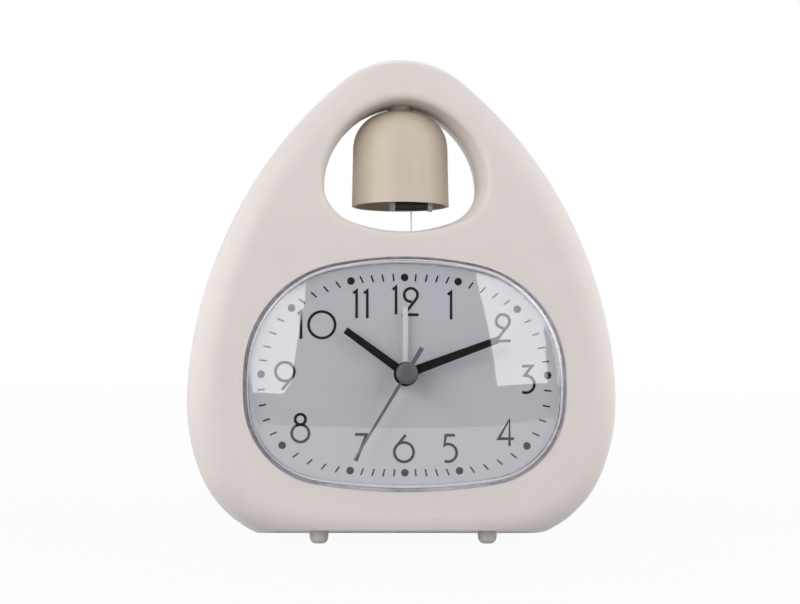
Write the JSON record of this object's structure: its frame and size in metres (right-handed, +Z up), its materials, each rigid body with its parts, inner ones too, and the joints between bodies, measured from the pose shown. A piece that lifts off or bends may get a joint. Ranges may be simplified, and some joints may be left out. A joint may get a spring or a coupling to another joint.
{
  "type": "bell alarm clock",
  "caption": "Pear-shaped alarm clock leaning on stub feet, with a handle opening that holds a bell and striker, a domed lens over a dial with hands, and a motor-driven wheel train.",
  "frame": {"origin": "on the table under the middle of the clock's extent from side to side and from front to back", "axes": "+Z up, the dial faces -Y, +X is to the right as the clock is read"},
  "size_m": [0.1448, 0.0622, 0.1627],
  "materials": {
    "cream": "matt",
    "steel": "plain",
    "clear": "clear",
    "dial": "matt",
    "bell": "matt lacquer",
    "iron": "plain",
    "copper": "enamelled wire",
    "board": "plain",
    "movement": "matt",
    "wheel": "plain",
    "rotor": "plain",
    "black": "matt",
    "white": "plain",
    "grey": "satin",
    "control": "matt",
    "battery": "plain"
  },
  "bodies": {
    "case": {"front_shell": "cream", "rear_shell": "cream", "shell_screws": "steel", "foot_left": "cream", "foot_right": "cream", "dial_lens": "clear", "dial_plate": "dial", "dial_screws": "steel", "bell": "bell", "bell_hanger": "bell", "bell_screw": "steel", "striker_frame": "iron", "striker_pin": "steel", "striker_core": "iron", "striker_coil": "copper", "frame_screws": "steel", "movement_case": "movement", "movement_cover": "movement", "movement_screws": "steel", "cover_screws": "steel", "train_plate": "movement", "motor_stator": "iron", "motor_core": "iron", "motor_coil": "copper", "circuit_board": "board", "quartz_crystal": "steel", "switch_body": "movement", "battery": "battery", "battery_spring": "steel", "battery_contact": "steel"},
    "striker": {"striker_lever": "wheel", "striker_armature": "iron", "striker_wire": "steel", "striker_head": "black", "striker_ends": "white"},
    "seconds": {"second_wheel": "wheel", "second_hand": "grey", "second_cap": "grey"},
    "third": {"third_wheel": "wheel"},
    "minutes": {"centre_wheel": "wheel", "minute_hand": "black"},
    "time_set": {"motion_wheel": "wheel", "time_knob": "control"},
    "hours": {"hour_wheel": "wheel", "hour_hand": "black"},
    "alarm_time": {"alarm_wheel": "wheel", "alarm_hand": "white"},
    "alarm_set": {"alarm_shaft": "wheel", "alarm_knob": "control"},
    "intermediate": {"intermediate_wheel": "wheel"},
    "rotor": {"motor_rotor": "rotor"},
    "alarm_slider": {"alarm_switch": "control"},
    "door": {"battery_door": "cream"}
  },
  "joints": [
    {"name": "second_hand_turn", "type": "hinge", "parent": "case", "child": "seconds", "pos_m": [0, 0.00076, 0.05455], "axis": [0, 0.9903, -0.1392], "continuous": true},
    {"name": "third_wheel_turn", "type": "hinge", "parent": "case", "child": "third", "pos_m": [0, 0.00239, 0.06614], "axis": [0, 0.9903, -0.1392], "continuous": true},
    {"name": "minute_hand_turn", "type": "hinge", "parent": "case", "child": "minutes", "pos_m": [0, 0.00076, 0.05455], "axis": [0, 0.9903, -0.1392], "continuous": true},
    {"name": "time_knob_turn", "type": "hinge", "parent": "case", "child": "time_set", "pos_m": [-0.012, 0.00076, 0.05455], "axis": [0, 0.9903, -0.1392], "continuous": true},
    {"name": "hour_hand_turn", "type": "hinge", "parent": "case", "child": "hours", "pos_m": [0, 0.00076, 0.05455], "axis": [0, 0.9903, -0.1392], "continuous": true},
    {"name": "intermediate_wheel_turn", "type": "hinge", "parent": "case", "child": "intermediate", "pos_m": [0, -0.0004, 0.04623], "axis": [0, 0.9903, -0.1392], "continuous": true},
    {"name": "rotor_turn", "type": "hinge", "parent": "case", "child": "rotor", "pos_m": [-0.00495, -0.00109, 0.04133], "axis": [0, 0.9903, -0.1392], "continuous": true},
    {"name": "alarm_knob_turn", "type": "hinge", "parent": "case", "child": "alarm_set", "pos_m": [0.012, 0.00076, 0.05455], "axis": [0, 0.9903, -0.1392], "continuous": true},
    {"name": "alarm_hand_turn", "type": "hinge", "parent": "case", "child": "alarm_time", "pos_m": [0, 0.00076, 0.05455], "axis": [0, 0.9903, -0.1392], "continuous": true},
    {"name": "striker_swing", "type": "hinge", "parent": "case", "child": "striker", "pos_m": [0.0037, 0.00516, 0.08584], "axis": [0, 0.9903, -0.1392], "range_deg": [-4, 8.5], "stiffness_Nm_per_rad": 0.004},
    {"name": "alarm_switch_slide", "type": "slide", "parent": "case", "child": "alarm_slider", "axis": [1, 0, 0], "range_m": [0, 0.004]},
    {"name": "battery_door_pull", "type": "slide", "parent": "case", "child": "door", "axis": [0, 0.9903, -0.1392], "range_m": [0, 0.03]}
  ],
  "couplings": [
    {"joint": "third_wheel_turn", "follows": "second_hand_turn", "ratio": -0.13333},
    {"joint": "minute_hand_turn", "follows": "second_hand_turn", "ratio": 0.016667},
    {"joint": "time_knob_turn", "follows": "second_hand_turn", "ratio": -0.0055556},
    {"joint": "hour_hand_turn", "follows": "second_hand_turn", "ratio": 0.0013889},
    {"joint": "intermediate_wheel_turn", "follows": "second_hand_turn", "ratio": -5},
    {"joint": "rotor_turn", "follows": "second_hand_turn", "ratio": 30},
    {"joint": "alarm_hand_turn", "follows": "alarm_knob_turn", "ratio": -0.25}
  ]
}
